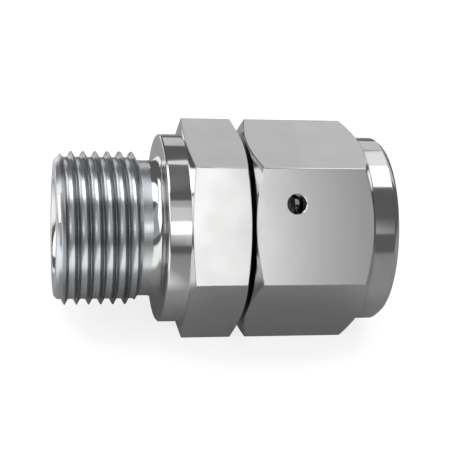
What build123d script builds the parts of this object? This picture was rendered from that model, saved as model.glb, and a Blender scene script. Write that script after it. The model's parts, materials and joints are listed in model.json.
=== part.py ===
from build123d import *
import os
from math import asin, cos, degrees, radians, sin, sqrt, tan

# Pipe union: a threaded male body and a swivel nut that turns on the body's nose.
# A wire ring, fed in through a hole in the nut, lies half in the nose and half in the nut and keeps the
# nut on. Everything is built along X from the male end's face at X = 0. It is then moved so that the
# origin lies on the axis at mid-length. The two hexagons lie on a flat, with +Z up.

# Sizes shared by both ends
thread_diameter = 26.99         # 1 1/16 inch, 12 threads to the inch, outside of the male thread
thread_pitch = 2.117
hex_face_inset = 0.17           # the end chamfer's circle lies this far inside the flats
bore_diameter = 15.5            # the passage right through
edge_break = 0.25               # small chamfer on turned corners

# Male end
male_thread_length = 13.6       # from the end face to where the full thread stops
male_end_chamfer = 1.55         # 45 degrees, down to just below the thread's root
bore_mouth_chamfer = 0.8
thread_runout_angle = 30.0      # from the plane across the axis
neck_depth = 1.525              # radial, below the outside of the thread
neck_length = 1.62              # straight part of the relief neck
neck_fillet = 2.0               # from the neck into the collar's face
collar_inset = 0.37             # radial, inside the flats of the hexagon
collar_length = 3.9
body_hex_length = 10.1
body_rear_chamfer_angle = 10.0  # chamfer angles are from the plane across the axis
body_front_chamfer_angle = 15.0

# Nose that the nut turns on
nose_wall = 3.25
nose_root_chamfer = 0.4
nose_clearance = 0.08           # radial, between the nose and the nut's rear bore
nose_reach = 1.8                # how far the tip stands past the nut's rear bore
seat_half_angle = 37.0          # cone that a flared male end seals on
seat_lip_width = 0.6

# Nut
swivel_gap = 0.65               # between the two hexagons
nut_hex_length = 20.75
nut_rear_chamfer_angle = 25.0
nut_front_chamfer_angle = 30.0
nut_wall = 2.755                # radial, outside the female end's relief
nut_flat_step = 0.5             # from the collar out to the flats, which makes them 34 apart
nut_collar_length = 4.55
nut_rim_chamfer_length = 1.0
nut_rim_chamfer_depth = 0.78
nut_rear_bore_length = 10.5
nut_rear_bore_chamfer = 0.5
female_relief_clearance = 0.25  # radial, outside the thread's own diameter
female_relief_margin = 0.5      # past the nose's tip

# Wire ring
wire_width = 2.2                # square section
wire_clearance = 0.1            # on each side of the wire in its groove
wire_from_nut_face = 7.0
wire_end_gap = 40.0             # degrees between the two cut ends
wire_hole_diameter = 3.3
wire_hole_height = 3.8          # from the middle line of the flat that the hole is in
wire_end_lift = 0.7             # the wire's second end stops this far past the hole's middle

# Places along the axis, from the male end's face
thread_radius = thread_diameter / 2
female_minor_radius = (thread_diameter - 1.0825 * thread_pitch) / 2
female_relief_radius = thread_radius + female_relief_clearance
nut_collar_radius = female_relief_radius + nut_wall
flat_radius = nut_collar_radius + nut_flat_step
corner_radius = flat_radius / cos(radians(30))
hex_face_radius = flat_radius - hex_face_inset
bore_radius = bore_diameter / 2
neck_radius = thread_radius - neck_depth
collar_radius = flat_radius - collar_inset
nose_radius = bore_radius + nose_wall
nut_rear_bore_radius = nose_radius + nose_clearance

neck_x = male_thread_length + (thread_radius - neck_radius) * tan(radians(thread_runout_angle))
collar_x = neck_x + neck_length + neck_fillet
body_hex_x = collar_x + collar_length
body_front_x = body_hex_x + body_hex_length
nut_rear_x = body_front_x + swivel_gap
nut_hex_end_x = nut_rear_x + nut_hex_length
nut_front_x = nut_hex_end_x + nut_collar_length
nut_shoulder_x = nut_rear_x + nut_rear_bore_length
nose_tip_x = nut_shoulder_x + nose_reach
relief_end_x = nose_tip_x + female_relief_margin
female_thread_x = relief_end_x + (female_relief_radius - female_minor_radius)
mouth_x = nut_front_x - (female_relief_radius - female_minor_radius)
wire_x = nut_rear_x + wire_from_nut_face
wire_ring_radius = nose_radius + nose_clearance / 2
marked_flat_angle = 150         # the flat with the hole faces this way, in degrees about +X from +Y


# A ring or shaft: the closed outline in X and radius is turned about the axis.
def turned(points):
    outline = make_face(Polyline(*points, close=True))
    return revolve(Plane.XZ * outline, Axis.X)


# A hexagon with its flats up and down, its end corners turned off by two cones.
def hexagon(start_x, end_x, rear_radius, rear_angle, front_radius, front_angle):
    prism = extrude(Plane.YZ.offset(start_x) * RegularPolygon(flat_radius, 6, major_radius=False),
                    amount=end_x - start_x)
    outside = corner_radius + 1
    rear_run = (outside - rear_radius) * tan(radians(rear_angle))
    front_run = (outside - front_radius) * tan(radians(front_angle))
    envelope = turned([
        (start_x, 0),
        (start_x, rear_radius),
        (start_x + rear_run, outside),
        (end_x - front_run, outside),
        (end_x, front_radius),
        (end_x, 0),
    ])
    return prism & envelope


# Where a ray from the axis at this angle meets the ring of this radius, in the wire's plane.
def ring_point(radius, angle):
    return (radius * cos(radians(angle)), radius * sin(radians(angle)))


# Where round the axis the wire's second end lies, just past the middle of the hole.
def wire_end_angle():
    end_height = wire_hole_height + wire_end_lift
    return marked_flat_angle - degrees(asin(end_height / wire_ring_radius))


# The full ring of square section that both half grooves are cut with.
def groove_ring():
    groove_width = wire_width + 2 * wire_clearance
    return revolve(Plane.XZ * Pos(wire_x, wire_ring_radius) * Rectangle(groove_width, groove_width), Axis.X)


def make_male_body():
    neck_top = neck_radius + neck_fillet
    corner = neck_fillet * (1 - sqrt(0.5))
    outline = [
        Polyline((0, 0), (0, thread_radius - male_end_chamfer), (male_end_chamfer, thread_radius),
                 (male_thread_length, thread_radius), (neck_x, neck_radius),
                 (collar_x - neck_fillet, neck_radius)),
        ThreePointArc((collar_x - neck_fillet, neck_radius), (collar_x - corner, neck_radius + corner),
                      (collar_x, neck_top)),
        Polyline((collar_x, neck_top), (collar_x, collar_radius - edge_break),
                 (collar_x + edge_break, collar_radius), (body_hex_x, collar_radius), (body_hex_x, 0), (0, 0)),
    ]
    stud = revolve(Plane.XZ * make_face(outline), Axis.X)
    grip = hexagon(body_hex_x, body_front_x, collar_radius, body_rear_chamfer_angle,
                   hex_face_radius, body_front_chamfer_angle)
    nose = turned([
        (body_front_x - 1, 0),
        (body_front_x - 1, nose_radius + nose_root_chamfer),
        (body_front_x, nose_radius + nose_root_chamfer),
        (body_front_x + nose_root_chamfer, nose_radius),
        (nose_tip_x - edge_break, nose_radius),
        (nose_tip_x, nose_radius - edge_break),
        (nose_tip_x, 0),
    ])
    seat_radius = nose_radius - seat_lip_width
    seat_run = (seat_radius - bore_radius) / tan(radians(seat_half_angle))
    passage = turned([
        (0, 0),
        (0, bore_radius + bore_mouth_chamfer),
        (bore_mouth_chamfer, bore_radius),
        (nose_tip_x - seat_run, bore_radius),
        (nose_tip_x, seat_radius),
        (nose_tip_x, 0),
    ])
    return stud + grip + nose - passage - groove_ring()


def make_swivel_nut():
    grip = hexagon(nut_rear_x, nut_hex_end_x, hex_face_radius, nut_rear_chamfer_angle,
                   nut_collar_radius, nut_front_chamfer_angle)
    collar = turned([
        (nut_hex_end_x - 1, 0),
        (nut_hex_end_x - 1, nut_collar_radius),
        (nut_front_x - nut_rim_chamfer_length, nut_collar_radius),
        (nut_front_x, nut_collar_radius - nut_rim_chamfer_depth),
        (nut_front_x, 0),
    ])
    inside = turned([
        (nut_rear_x, 0),
        (nut_rear_x, nut_rear_bore_radius + nut_rear_bore_chamfer),
        (nut_rear_x + nut_rear_bore_chamfer, nut_rear_bore_radius),
        (nut_shoulder_x, nut_rear_bore_radius),
        (nut_shoulder_x, female_relief_radius),
        (relief_end_x, female_relief_radius),
        (female_thread_x, female_minor_radius),
        (mouth_x, female_minor_radius),
        (nut_front_x, female_relief_radius),
        (nut_front_x, 0),
    ])
    return grip + collar - inside - groove_ring() - wire_hole()


# The hole that the wire is fed in through, square to the marked flat and off its middle line.
def wire_hole():
    outward = Vector(0, *ring_point(1, marked_flat_angle))
    upward = Vector(0, *ring_point(1, marked_flat_angle - 90))
    mouth = Vector(wire_x, 0, 0) + upward * wire_hole_height + outward * (flat_radius + 1)
    depth = flat_radius + 1 - sqrt(wire_ring_radius ** 2 - wire_hole_height ** 2)
    return extrude(Plane(origin=mouth, z_dir=outward * -1) * Circle(wire_hole_diameter / 2), amount=depth)


# Square wire, pushed in through the hole until both cut ends lie in the groove.
def make_retaining_wire():
    first_cut_angle = wire_end_angle() + wire_end_gap
    first_cut = Plane(origin=(wire_x, 0, 0), x_dir=(0, *ring_point(1, first_cut_angle)),
                      z_dir=(0, *ring_point(1, first_cut_angle + 90)))
    section = first_cut * Pos(wire_ring_radius, 0) * Rectangle(wire_width, wire_width)
    return revolve(section, Axis.X, 360 - wire_end_gap)


to_mid_length = Pos(-nut_front_x / 2, 0, 0)
parts = {
    "male_body": make_male_body(),
    "swivel_nut": make_swivel_nut(),
    "retaining_wire": make_retaining_wire(),
}
os.makedirs("parts", exist_ok=True)
for name, solid in parts.items():
    export_step(to_mid_length * solid, f"parts/{name}.step")
print("length", round(nut_front_x, 3), "across flats", round(2 * flat_radius, 3))
print("female thread wall", round(female_thread_x, 3), "to", round(mouth_x, 3),
      "radius", round(female_minor_radius, 3))
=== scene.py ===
import bpy
import json
from math import cos, pi, radians, sin, sqrt
from mathutils import Matrix, Vector

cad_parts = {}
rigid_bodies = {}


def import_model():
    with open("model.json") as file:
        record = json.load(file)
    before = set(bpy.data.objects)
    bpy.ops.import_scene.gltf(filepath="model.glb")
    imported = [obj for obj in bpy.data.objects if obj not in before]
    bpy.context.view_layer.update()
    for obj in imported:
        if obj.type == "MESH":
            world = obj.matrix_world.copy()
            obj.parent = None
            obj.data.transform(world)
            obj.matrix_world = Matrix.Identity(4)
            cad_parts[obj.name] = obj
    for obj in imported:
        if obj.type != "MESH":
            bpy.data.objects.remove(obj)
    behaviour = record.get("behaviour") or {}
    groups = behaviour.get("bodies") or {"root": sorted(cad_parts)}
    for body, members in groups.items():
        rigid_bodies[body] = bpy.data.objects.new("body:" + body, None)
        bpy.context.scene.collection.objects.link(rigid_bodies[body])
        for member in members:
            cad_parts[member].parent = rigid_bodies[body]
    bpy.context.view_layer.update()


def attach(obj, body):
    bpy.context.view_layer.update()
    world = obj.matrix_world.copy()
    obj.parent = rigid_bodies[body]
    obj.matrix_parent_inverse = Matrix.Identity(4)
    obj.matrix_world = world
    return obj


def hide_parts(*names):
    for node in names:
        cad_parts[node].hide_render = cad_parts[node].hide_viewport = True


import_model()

mm = 0.001
midLength = 29.02523  # X below is counted in mm from the male end's face, and the origin is at mid-length
fittingAxis = (1, 0, 0)

# sizes that the pieces share, in mm
shared = {
    "sides": 240,
    "flatRadius": 17.0,
    "overCorner": 20.63,        # the bar before its flats are cut
    "hexFaceRadius": 16.83,
    "wireX": 39.75, "wireRadius": 11.04, "grooveHalf": 1.2,
    "edgeBreak": 0.1,
}
sharedThread = {
    "pitch": 2.117, "stepsPerTurn": 120,
    "crestBreak": 0.06,
    "rootRise": 0.05, "rootShare": 0.6,     # the root is level over this share of its width
    "lipReach": 0.02, "outerReach": 0.6,    # how far the cutter stands past the crest
}
shaping = {
    "weld": 0.001,              # mm, vertices nearer than this are joined
    "cutSlack": 0.0001,         # mm, the same where a flat is cut
    "slack": 0.01,              # how far off a face may be and still count as a flat
    "endFace": 0.9999,          # how squarely a face must look along the axis, or out of the drill
    "breakSegments": 2, "breakAngle": 28,
    "smoothAngle": 32, "normalWeight": 90,
}


# Shared helpers

def selectOnly(piece):
    bpy.ops.object.select_all(action="DESELECT")
    piece.select_set(True)
    bpy.context.view_layer.objects.active = piece


def editAll():
    bpy.ops.object.mode_set(mode="EDIT")
    bpy.ops.mesh.select_all(action="SELECT")


def leaveEdit():
    bpy.ops.object.mode_set(mode="OBJECT")


def placeOf(point):
    return Vector(((point[0] - midLength) * mm, 0, point[1] * mm))


def drawOutline(name, points):
    # one vertex is extruded from point to point, in the upright plane through the axis
    bpy.ops.object.select_all(action="DESELECT")
    bpy.ops.mesh.primitive_plane_add(size=mm, location=placeOf(points[0]))
    piece = bpy.context.object
    piece.name = name
    bpy.ops.object.transform_apply(location=True, rotation=True, scale=True)
    bpy.ops.object.mode_set(mode="EDIT")
    bpy.ops.mesh.select_mode(type="VERT")
    bpy.ops.mesh.select_all(action="SELECT")
    bpy.ops.mesh.merge(type="CENTER")
    for start, end in zip(points, points[1:] + points[:1]):
        step = placeOf(end) - placeOf(start)
        bpy.ops.mesh.extrude_vertices_move(TRANSFORM_OT_translate={"value": step})
    bpy.ops.mesh.select_all(action="SELECT")
    bpy.ops.mesh.remove_doubles(threshold=shaping["weld"] * mm)
    leaveEdit()
    return piece


def closeMesh(piece):
    selectOnly(piece)
    editAll()
    bpy.ops.mesh.remove_doubles(threshold=shaping["weld"] * mm)
    bpy.ops.mesh.normals_make_consistent(inside=False)
    leaveEdit()


def turnOutline(name, points, sides):
    piece = drawOutline(name, points)
    editAll()
    bpy.ops.mesh.spin(steps=sides, angle=2 * pi, center=(0, 0, 0), axis=fittingAxis)
    leaveEdit()
    closeMesh(piece)
    return piece


def cutFlats(piece, flatRadius):
    # only the hexagon stands out past its flats, so each cut reaches nothing else
    selectOnly(piece)
    bpy.ops.object.mode_set(mode="EDIT")
    for side in range(6):
        turn = radians(30 + 60 * side)
        outward = Vector((0, cos(turn), sin(turn)))
        bpy.ops.mesh.select_all(action="SELECT")
        bpy.ops.mesh.bisect(plane_co=outward * flatRadius * mm, plane_no=outward, use_fill=True,
                            clear_outer=True, threshold=shaping["cutSlack"] * mm)
    leaveEdit()
    closeMesh(piece)


def applyModifier(piece, kind, **values):
    selectOnly(piece)
    modifier = piece.modifiers.new(kind.title(), kind)
    for key, value in values.items():
        setattr(modifier, key, value)
    bpy.ops.object.modifier_apply(modifier=modifier.name)


def breakEdges(piece, width):
    applyModifier(piece, "BEVEL", width=width * mm, segments=shaping["breakSegments"], limit_method="ANGLE",
                  angle_limit=radians(shaping["breakAngle"]), use_clamp_overlap=True)


def cutWith(piece, cutter):
    applyModifier(piece, "BOOLEAN", operation="DIFFERENCE", solver="MANIFOLD", object=cutter)
    bpy.data.objects.remove(cutter)


def pickFaces(piece, wanted):
    # leaves the piece in edit mode with only the wanted faces selected
    selectOnly(piece)
    bpy.ops.object.mode_set(mode="EDIT")
    bpy.ops.mesh.select_mode(type="FACE")
    bpy.ops.mesh.select_all(action="DESELECT")
    bpy.ops.object.mode_set(mode="OBJECT")
    for face in piece.data.polygons:
        face.select = wanted(face)
    bpy.ops.object.mode_set(mode="EDIT")


def onFlat(face, flatRadius):
    distance = face.normal.dot(face.center)
    alongAxis = abs(face.normal.x) < shaping["slack"]
    return alongAxis and abs(distance - flatRadius * mm) < shaping["slack"] * mm


def finishSurface(piece, flatRadius):
    closeMesh(piece)
    bpy.ops.object.shade_smooth_by_angle(angle=radians(shaping["smoothAngle"]))
    pickFaces(piece, lambda face: onFlat(face, flatRadius) or abs(face.normal.x) > shaping["endFace"])
    bpy.ops.mesh.faces_shade_flat()
    leaveEdit()
    applyModifier(piece, "WEIGHTED_NORMAL", keep_sharp=True, weight=shaping["normalWeight"])


def threadCutter(name, thread):
    # the groove's section, widest where it leaves the crest, is wound round the axis as a screw
    start, crest, root = thread["startX"], thread["crestRadius"], thread["rootRadius"]
    inward = 1 if root < crest else -1
    halfRoot = thread["rootFlat"] / 2
    halfFloor = halfRoot * thread["rootShare"]
    halfOpening = thread["pitch"] / 2 - thread["crestFlat"] / 2
    halfLip = halfOpening + thread["crestBreak"]
    rootEdge = root + thread["rootRise"] * inward
    crestEdge = crest - thread["crestBreak"] * inward
    lip = crest + thread["lipReach"] * inward
    outer = crest + thread["outerReach"] * inward
    points = [
        (start - halfRoot, rootEdge),
        (start - halfFloor, root),
        (start + halfFloor, root),
        (start + halfRoot, rootEdge),
        (start + halfOpening, crestEdge),
        (start + halfLip, lip),
        (start + halfLip, outer),
        (start - halfLip, outer),
        (start - halfLip, lip),
        (start - halfOpening, crestEdge),
    ]
    cutter = drawOutline(name, points)
    turns = thread["turns"]
    steps = int(thread["stepsPerTurn"] * turns)
    applyModifier(cutter, "SCREW", axis="X", angle=2 * pi * turns, screw_offset=thread["pitch"] * turns * mm,
                  steps=steps, render_steps=steps, use_merge_vertices=False)
    editAll()
    bpy.ops.mesh.fill_holes(sides=len(points))
    leaveEdit()
    closeMesh(cutter)
    return cutter


# Steel finishes

steelBase = {"ior": 2.5, "markDetail": 3, "cloudDetail": 4, "bumpStrength": 0.5}

turnedLook = {
    "darkColour": (0.60, 0.60, 0.595, 1),
    "lightColour": (0.74, 0.74, 0.735, 1),
    "marksPerMetre": 9000,      # fine marks run round the axis
    "marksShare": 0.45,         # the rest of the unevenness is cloudy
    "markDepth": 0.0000008,
    "cloudsPerMetre": 160,
    "smoothest": 0.08,
    "roughest": 0.14,
}
flatLook = {
    "darkColour": (0.705, 0.705, 0.70, 1),
    "lightColour": (0.735, 0.735, 0.73, 1),
    "marksPerMetre": 2600,
    "markStretch": 0.02,        # fine marks run along the axis
    "marksShare": 0.14,
    "markDepth": 0.0000001,
    "cloudsPerMetre": 120,
    "smoothest": 0.215,
    "roughest": 0.25,
}
threadLook = {
    "darkColour": (0.56, 0.58, 0.60, 1),
    "lightColour": (0.72, 0.745, 0.77, 1),
    "paintedFlankShade": (0.27, 0.28, 0.29, 1),   # painted shade: flanks and crests are darker than the roots, standing in for the shade between the turns
    "paintedFlankShadeRadii": (0.01258, 0.01295),       # where that painted shade starts and where it is full, in metres
    "marksPerMetre": 7000,
    "marksShare": 0.45,
    "markDepth": 0.0000006,
    "cloudsPerMetre": 220,
    "smoothest": 0.23,
    "roughest": 0.31,
}
# painted shade: the wire is near black, standing in for the shade in the hole and groove where it shows
wirePaintedShadeLook = {
    "darkColour": (0.08, 0.08, 0.083, 1),
    "lightColour": (0.14, 0.14, 0.143, 1),
    "marksPerMetre": 5000,
    "marksShare": 0.45,
    "markDepth": 0.000001,
    "cloudsPerMetre": 300,
    "smoothest": 0.26,
    "roughest": 0.36,
}


def fillSockets(tree, node, sockets):
    # each socket takes a plain value or another node's output
    for key, source in sockets.items():
        if isinstance(source, bpy.types.NodeSocket):
            tree.links.new(source, node.inputs[key])
        else:
            node.inputs[key].default_value = source


def addNode(tree, kind, sockets, **settings):
    node = tree.nodes.new(kind)
    for key, value in settings.items():
        setattr(node, key, value)
    fillSockets(tree, node, sockets)
    return node


def mapValue(tree, source, low, high, fromLow=0.35, fromHigh=0.65):
    # a noise value spreads over the wanted range
    return addNode(tree, "ShaderNodeMapRange", {
        "Value": source, "From Min": fromLow, "From Max": fromHigh, "To Min": low, "To Max": high,
    }).outputs["Result"]


def joinMaths(tree, operation, *sources):
    return addNode(tree, "ShaderNodeMath", dict(enumerate(sources)), operation=operation).outputs[0]


def mixColours(tree, factor, first, second):
    # sockets 6 and 7 are the mix node's two colours
    return addNode(tree, "ShaderNodeMix", {0: factor, 6: first, 7: second}, data_type="RGBA").outputs[2]


def newMaterial(name):
    material = bpy.data.materials.new(name)
    material.use_nodes = True
    tree = material.node_tree
    place = addNode(tree, "ShaderNodeTexCoord", {}).outputs["Object"]
    return material, tree, tree.nodes["Principled BSDF"], place


def finishSteel(tree, shader, place, look, marks, radius=None):
    # marks and clouds together steer colour and gloss, and the marks alone the relief
    clouds = addNode(tree, "ShaderNodeTexNoise", {
        "Vector": place, "Scale": look["cloudsPerMetre"], "Detail": steelBase["cloudDetail"],
    }).outputs["Fac"]
    cloudPart = joinMaths(tree, "MULTIPLY", clouds, 1 - look["marksShare"])
    blend = joinMaths(tree, "MULTIPLY_ADD", marks, look["marksShare"], cloudPart)
    colour = mixColours(tree, mapValue(tree, blend, 0, 1), look["darkColour"], look["lightColour"])
    # painted shade: where the look names it, the colour darkens with radius over the thread's flanks and
    # crests
    if "paintedFlankShade" in look:
        flanks = mapValue(tree, radius, 0, 1, *look["paintedFlankShadeRadii"])
        colour = mixColours(tree, flanks, colour, look["paintedFlankShade"])
    bump = addNode(tree, "ShaderNodeBump", {
        "Height": marks, "Strength": steelBase["bumpStrength"], "Distance": look["markDepth"],
    })
    fillSockets(tree, shader, {
        "Metallic": 1,
        "IOR": steelBase["ior"],
        "Base Color": colour,
        "Roughness": mapValue(tree, blend, look["roughest"], look["smoothest"]),
        "Normal": bump.outputs["Normal"],
    })


def turnedSteel(name, look):
    material, tree, shader, place = newMaterial(name)
    split = addNode(tree, "ShaderNodeSeparateXYZ", {0: place}).outputs
    across = addNode(tree, "ShaderNodeCombineXYZ", {"Y": split["Y"], "Z": split["Z"]}).outputs[0]
    radius = addNode(tree, "ShaderNodeVectorMath", {0: across}, operation="LENGTH").outputs["Value"]
    marks = addNode(tree, "ShaderNodeTexNoise", {
        "W": joinMaths(tree, "ADD", split["X"], radius),
        "Scale": look["marksPerMetre"], "Detail": steelBase["markDetail"],
    }, noise_dimensions="1D").outputs["Fac"]
    finishSteel(tree, shader, place, look, marks, radius)
    return material


def flatSteel(name, look):
    material, tree, shader, place = newMaterial(name)
    stretch = addNode(tree, "ShaderNodeMapping", {"Vector": place, "Scale": (look["markStretch"], 1, 1)})
    marks = addNode(tree, "ShaderNodeTexNoise", {
        "Vector": stretch.outputs[0], "Scale": look["marksPerMetre"], "Detail": steelBase["markDetail"],
    }).outputs["Fac"]
    finishSteel(tree, shader, place, look, marks)
    return material


turnedFinish = turnedSteel("turnedSteel", turnedLook)
flatFinish = flatSteel("drawnFlatSteel", flatLook)
threadFinish = turnedSteel("threadSteel", threadLook)
wirePaintedShadeFinish = turnedSteel("wireSteelPaintedShade", wirePaintedShadeLook)


def paintSteel(piece, flatRadius):
    # turned finish all over, and the flats' own finish on the hexagon
    piece.data.materials.clear()
    piece.data.materials.append(turnedFinish)
    piece.data.materials.append(flatFinish)
    for face in piece.data.polygons:
        face.material_index = 1 if onFlat(face, flatRadius) else 0


def paintThread(piece):
    # the thread and the neck are duller than the rest, from their outside down to the dull radius, and the
    # thread's flanks and crests carry painted shade
    piece.data.materials.append(threadFinish)
    neckEnd = placeOf((body["neckEnd"], 0)).x
    for face in piece.data.polygons:
        if face.center.x < neckEnd and face.center.yz.length > body["dullRadius"] * mm:
            face.material_index = 2


# Male body

body = {
    **shared,
    "boreRadius": 7.75, "mouthChamfer": 0.8,
    "endRadius": 11.945, "endChamfer": 1.55,
    "threadRadius": 13.495, "threadEnd": 13.6,
    "neckRadius": 11.97, "neckStart": 14.48, "neckEnd": 16.1, "neckFillet": 2.0, "filletSteps": 12,
    "dullRadius": 8.75,
    "collarRadius": 16.63, "collarFace": 18.1, "collarBreak": 0.25,
    "hexStart": 22.0, "hexEnd": 32.1, "rearRun": 0.705, "frontRun": 1.018,
    "noseRadius": 11.0, "noseRoot": 0.4, "noseTip": 45.05, "noseBreak": 0.25,
    "seatRadius": 10.4, "seatRun": 3.517,
}
# the root and the flanks are shaped for likeness, wider and steeper than a true thread's
maleThread = {
    **sharedThread,
    "crestRadius": 13.495, "rootRadius": 12.48, "crestFlat": 0.2, "rootFlat": 0.95,
    "startX": -2.2, "turns": 8.7,
}


def bodyOutline():
    size = body
    fillet = []
    for step in range(1, size["filletSteps"] + 1):
        turn = radians(90 * step / size["filletSteps"])
        fillet.append((size["neckEnd"] + size["neckFillet"] * sin(turn),
                       size["neckRadius"] + size["neckFillet"] * (1 - cos(turn))))
    grooveStart, grooveEnd = size["wireX"] - size["grooveHalf"], size["wireX"] + size["grooveHalf"]
    grooveFloor = size["wireRadius"] - size["grooveHalf"]
    return [
        (0, size["boreRadius"] + size["mouthChamfer"]),
        (0, size["endRadius"]),
        (size["endChamfer"], size["threadRadius"]),
        (size["threadEnd"], size["threadRadius"]),
        (size["neckStart"], size["neckRadius"]),
        (size["neckEnd"], size["neckRadius"]),
        *fillet,
        (size["collarFace"], size["collarRadius"] - size["collarBreak"]),
        (size["collarFace"] + size["collarBreak"], size["collarRadius"]),
        (size["hexStart"], size["collarRadius"]),
        (size["hexStart"] + size["rearRun"], size["overCorner"]),
        (size["hexEnd"] - size["frontRun"], size["overCorner"]),
        (size["hexEnd"], size["hexFaceRadius"]),
        (size["hexEnd"], size["noseRadius"] + size["noseRoot"]),
        (size["hexEnd"] + size["noseRoot"], size["noseRadius"]),
        (grooveStart, size["noseRadius"]),
        (grooveStart, grooveFloor),
        (grooveEnd, grooveFloor),
        (grooveEnd, size["noseRadius"]),
        (size["noseTip"] - size["noseBreak"], size["noseRadius"]),
        (size["noseTip"], size["noseRadius"] - size["noseBreak"]),
        (size["noseTip"], size["seatRadius"]),
        (size["noseTip"] - size["seatRun"], size["boreRadius"]),
        (size["mouthChamfer"], size["boreRadius"]),
    ]


def makeBody():
    piece = turnOutline("maleBodyShown", bodyOutline(), body["sides"])
    cutFlats(piece, body["flatRadius"])
    breakEdges(piece, body["edgeBreak"])
    cutWith(piece, threadCutter("maleThreadCutter", maleThread))
    finishSurface(piece, body["flatRadius"])
    paintSteel(piece, body["flatRadius"])
    paintThread(piece)
    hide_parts("male_body")
    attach(piece, "body")
    print("male body:", len(piece.data.polygons), "faces")


# Swivel nut

nut = {
    **shared,
    "rear": 32.75, "rearRun": 1.772,
    "hexEnd": 53.5, "frontRun": 2.384, "collarRadius": 16.5,
    "front": 58.05, "rimLength": 1.0, "rimDepth": 0.78,
    "reliefRadius": 13.745, "threadRadius": 12.349, "mouth": 56.655, "threadStart": 46.946,
    "reliefEnd": 45.55, "shoulder": 43.25,
    "rearBore": 11.08, "rearBoreChamfer": 0.5,
    "holeRadius": 1.65, "holeHeight": 3.8, "holeAngle": 150, "holeSides": 72,
    "holeBreak": 0.12,
    "holeReach": 0.5,           # how far the drill stands out past the flat
}
femaleThread = {
    **sharedThread,
    "crestRadius": 12.349, "rootRadius": 13.55, "crestFlat": 0.45, "rootFlat": 0.3,
    "startX": 44.7, "turns": 7.1,
}


def nutOutline():
    size = nut
    grooveStart, grooveEnd = size["wireX"] - size["grooveHalf"], size["wireX"] + size["grooveHalf"]
    grooveTop = size["wireRadius"] + size["grooveHalf"]
    return [
        (size["rear"], size["rearBore"] + size["rearBoreChamfer"]),
        (size["rear"], size["hexFaceRadius"]),
        (size["rear"] + size["rearRun"], size["overCorner"]),
        (size["hexEnd"] - size["frontRun"], size["overCorner"]),
        (size["hexEnd"], size["collarRadius"]),
        (size["front"] - size["rimLength"], size["collarRadius"]),
        (size["front"], size["collarRadius"] - size["rimDepth"]),
        (size["front"], size["reliefRadius"]),
        (size["mouth"], size["threadRadius"]),
        (size["threadStart"], size["threadRadius"]),
        (size["reliefEnd"], size["reliefRadius"]),
        (size["shoulder"], size["reliefRadius"]),
        (size["shoulder"], size["rearBore"]),
        (grooveEnd, size["rearBore"]),
        (grooveEnd, grooveTop),
        (grooveStart, grooveTop),
        (grooveStart, size["rearBore"]),
        (size["rear"] + size["rearBoreChamfer"], size["rearBore"]),
    ]


def holeCutter():
    # a drill with an eased lip, square to the marked flat
    turn = radians(nut["holeAngle"])
    outward = Vector((0, cos(turn), sin(turn)))
    upward = Vector((0, sin(turn), -cos(turn)))
    inner = sqrt(nut["wireRadius"] ** 2 - nut["holeHeight"] ** 2)
    lip = nut["flatRadius"] - nut["holeBreak"]
    middle = placeOf((nut["wireX"], 0)) + upward * nut["holeHeight"] * mm
    middle += outward * (inner + lip) / 2 * mm
    bpy.ops.object.select_all(action="DESELECT")
    bpy.ops.mesh.primitive_cylinder_add(vertices=nut["holeSides"], radius=nut["holeRadius"] * mm,
                                        depth=(lip - inner) * mm, location=middle,
                                        rotation=outward.to_track_quat("Z", "X").to_euler())
    cutter = bpy.context.object
    bpy.ops.object.transform_apply(location=True, rotation=True, scale=True)
    pickFaces(cutter, lambda face: face.normal.dot(outward) > shaping["endFace"])
    lipMiddle = middle + outward * (lip - inner) / 2 * mm
    for rise, spread in ((nut["holeBreak"], nut["holeBreak"]), (nut["holeReach"], 0)):
        bpy.ops.mesh.extrude_region_move(TRANSFORM_OT_translate={"value": outward * rise * mm})
        factor = 1 + spread / nut["holeRadius"]
        bpy.ops.transform.resize(value=(factor, factor, factor),
                                 center_override=lipMiddle + outward * rise * mm)
    leaveEdit()
    return cutter


def makeNut():
    piece = turnOutline("swivelNutShown", nutOutline(), nut["sides"])
    cutFlats(piece, nut["flatRadius"])
    breakEdges(piece, nut["edgeBreak"])
    cutWith(piece, threadCutter("femaleThreadCutter", femaleThread))
    cutWith(piece, holeCutter())
    finishSurface(piece, nut["flatRadius"])
    paintSteel(piece, nut["flatRadius"])
    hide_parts("swivel_nut")
    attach(piece, "nut")
    print("swivel nut:", len(piece.data.polygons), "faces")


# Retaining wire

wire = {
    **shared,
    "halfWidth": 1.1,
    "cornerRound": 0.45, "cornerSegments": 5,   # square wire with rolled corners
    "endAngle": 125.95, "endGap": 40, "steps": 160,
    "endBreak": 0.08,
}


def makeWire():
    size = wire
    low, high = size["wireRadius"] - size["halfWidth"], size["wireRadius"] + size["halfWidth"]
    left, right = size["wireX"] - size["halfWidth"], size["wireX"] + size["halfWidth"]
    piece = drawOutline("retainingWireShown", [(left, low), (right, low), (right, high), (left, high)])
    editAll()
    bpy.ops.mesh.bevel(offset=size["cornerRound"] * mm, segments=size["cornerSegments"], affect="VERTICES")
    bpy.ops.mesh.select_all(action="SELECT")
    bpy.ops.mesh.spin(steps=size["steps"], angle=radians(360 - size["endGap"]), center=(0, 0, 0),
                      axis=fittingAxis)
    bpy.ops.mesh.select_all(action="SELECT")
    bpy.ops.mesh.fill_holes(sides=0)
    leaveEdit()
    closeMesh(piece)
    piece.rotation_euler.x = radians(size["endAngle"] + size["endGap"] - 90)
    bpy.ops.object.transform_apply(location=True, rotation=True, scale=True)
    breakEdges(piece, size["endBreak"])
    bpy.ops.object.shade_smooth_by_angle(angle=radians(shaping["smoothAngle"]))
    # the near-black wire finish is painted shade for the depth of the hole
    piece.data.materials.clear()
    piece.data.materials.append(wirePaintedShadeFinish)
    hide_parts("retaining_wire")
    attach(piece, "body")
    print("retaining wire:", len(piece.data.polygons), "faces")


makeBody()
makeNut()
makeWire()


# Floor and light

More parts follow.
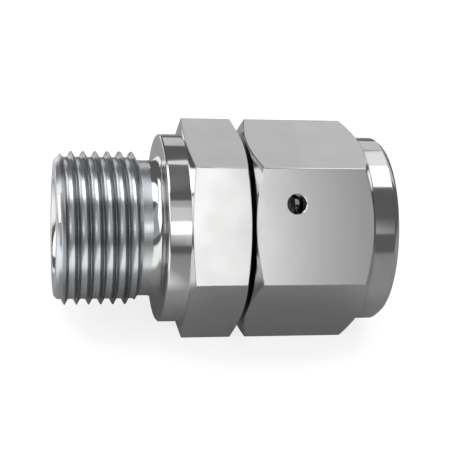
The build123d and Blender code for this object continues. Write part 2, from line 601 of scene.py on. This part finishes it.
studio = {
    "floorZ": -17.0, "floorSize": 4.0, "floorRoughness": 0.9,
    "floorColour": (0.38, 0.38, 0.38, 1),
    "glow": 0.92,               # what lifts the open floor to white
    "shadeGlow": 0.80,          # the same for the camera, in the shadow next to the fitting
    "shadeReach": (0.036, 0.030), "shadeFade": (0.7, 1.25),
    "nearFloor": 0.06,          # the small glow the steel sees of the floor outside the painted reflection patches below
    "roomLevel": 0.13,
}
# painted reflections: the floor glows for the steel's glossy and transmission rays only in these patches,
# and each fades in between its two places
paintedReflectionPatches = [
    {"acrossX": (-0.039, -0.052), "axis": "X", "acrossAxis": (-0.30, -0.10)},
    {"acrossX": (-0.003, -0.010), "axis": "Y", "acrossAxis": (-0.025, -0.035)},
    {"acrossX": (-0.10, -0.18), "axis": "Y", "acrossAxis": (0.08, 0.14)},
]


def makeFloor():
    bpy.ops.object.select_all(action="DESELECT")
    bpy.ops.mesh.primitive_plane_add(size=studio["floorSize"], location=(0, 0, studio["floorZ"] * mm))
    floor = bpy.context.object
    floor.name = "floor"
    material, tree, shader, place = newMaterial("paleFloor")
    reach = studio["shadeReach"]
    shrink = addNode(tree, "ShaderNodeMapping", {"Vector": place, "Scale": (1 / reach[0], 1 / reach[1], 1)})
    away = addNode(tree, "ShaderNodeVectorMath", {0: shrink.outputs[0]}, operation="LENGTH").outputs["Value"]
    cameraGlow = mapValue(tree, away, studio["shadeGlow"], studio["glow"], *studio["shadeFade"])
    split = addNode(tree, "ShaderNodeSeparateXYZ", {0: place}).outputs
    paintedReflectionGlow = studio["nearFloor"]
    for patch in paintedReflectionPatches:
        # each patch's glow is a painted reflection, seen only by glossy and transmission rays
        lit = mapValue(tree, split["X"], 0, studio["glow"], *patch["acrossX"])
        inside = mapValue(tree, split[patch["axis"]], 0, 1, *patch["acrossAxis"])
        paintedReflectionGlow = joinMaths(tree, "MAXIMUM", joinMaths(tree, "MULTIPLY", lit, inside), paintedReflectionGlow)
    path = addNode(tree, "ShaderNodeLightPath", {}).outputs
    mirrored = joinMaths(tree, "MAXIMUM", path["Is Glossy Ray"], path["Is Transmission Ray"])
    seenPart = joinMaths(tree, "MULTIPLY", cameraGlow, path["Is Camera Ray"])
    paintedReflectionPart = joinMaths(tree, "MULTIPLY", paintedReflectionGlow, mirrored)
    fillSockets(tree, shader, {
        "Base Color": studio["floorColour"],
        "Roughness": studio["floorRoughness"],
        "Specular IOR Level": 0.0,
        "Emission Color": (1, 1, 1, 1),
        "Emission Strength": joinMaths(tree, "ADD", seenPart, paintedReflectionPart),
    })
    floor.data.materials.append(material)


def makeWorld():
    world = bpy.data.worlds.new("studioRoom")
    bpy.context.scene.world = world
    world.use_nodes = True
    background = world.node_tree.nodes["Background"]
    background.inputs["Color"].default_value = (1, 1, 1, 1)
    background.inputs["Strength"].default_value = studio["roomLevel"]


# aim holds the azimuth from the camera's side (0) towards the nut's end (90), the elevation and the distance
softboxes = {
    "key": {"aim": (9.0, 29, 0.8), "size": (0.095, 0.2), "level": 2.15},
    "keyAbove": {"aim": (10.6, 49, 0.8), "size": (0.095, 0.34), "level": 0.4},
    "keyBelow": {"aim": (10.6, 15, 0.8), "size": (0.095, 0.19), "level": 0.5},
    "keyRight": {"aim": (18.5, 29, 0.8), "size": (0.12, 0.24), "level": 0.3},
    "frontFill": {"aim": (-27, 36, 0.8), "size": (1.1, 0.7), "level": 0.3},
    "left": {"aim": (-90, 28, 0.5), "size": (0.66, 0.32), "level": 1.5},
    "back": {"aim": (146, 21, 0.85), "size": (1.0, 0.42), "level": 0.57},
    "backHigh": {"aim": (145, 52, 0.85), "size": (0.28, 0.5), "level": 0.95},
    "overLeft": {"place": (-0.23, 0.03, 0.6), "size": (0.54, 0.38), "level": 2.5},
    "overRight": {"place": (0.33, 0.07, 0.6), "size": (0.36, 0.33), "level": 1.5},
}


def makeSoftbox(name, box):
    bpy.ops.object.select_all(action="DESELECT")
    if "place" in box:
        bpy.ops.object.light_add(type="AREA", location=box["place"])
    else:
        azimuth, elevation = radians(box["aim"][0]), radians(box["aim"][1])
        outward = Vector((sin(azimuth) * cos(elevation), -cos(azimuth) * cos(elevation), sin(elevation)))
        bpy.ops.object.light_add(type="AREA", location=outward * box["aim"][2])
        bpy.context.object.rotation_euler = outward.to_track_quat("Z", "Y").to_euler()
    width, height = box["size"]
    lamp = bpy.context.object
    lamp.name = name
    lamp.data.shape = "RECTANGLE"
    lamp.data.size = width
    lamp.data.size_y = height
    lamp.data.energy = box["level"] * pi * width * height


makeFloor()
makeWorld()
for name, box in softboxes.items():
    makeSoftbox(name, box)
print("floor and light")


# Camera

view = {
    "place": (-0.0392, -0.1878, 0.1063),
    "aim": (0.00174, 0.00015, 0.00027),
    "lens": 97.3, "sensor": 36, "clipStart": 0.01,
}


def makeCamera():
    bpy.ops.object.select_all(action="DESELECT")
    bpy.ops.object.camera_add(location=view["place"])
    camera = bpy.context.object
    forward = (Vector(view["aim"]) - Vector(view["place"])).normalized()
    up = Vector(fittingAxis).cross(forward).normalized()  # keeps the fitting's axis level in the picture
    if up.z < 0:
        up = -up
    right = forward.cross(up)
    camera.matrix_world = Matrix((
        (right.x, up.x, -forward.x, view["place"][0]),
        (right.y, up.y, -forward.y, view["place"][1]),
        (right.z, up.z, -forward.z, view["place"][2]),
        (0, 0, 0, 1),
    ))
    camera.data.sensor_width = view["sensor"]
    camera.data.lens = view["lens"]
    camera.data.clip_start = view["clipStart"]
    bpy.context.scene.camera = camera


makeCamera()
bpy.context.scene.view_settings.view_transform = "Standard"
print("camera")
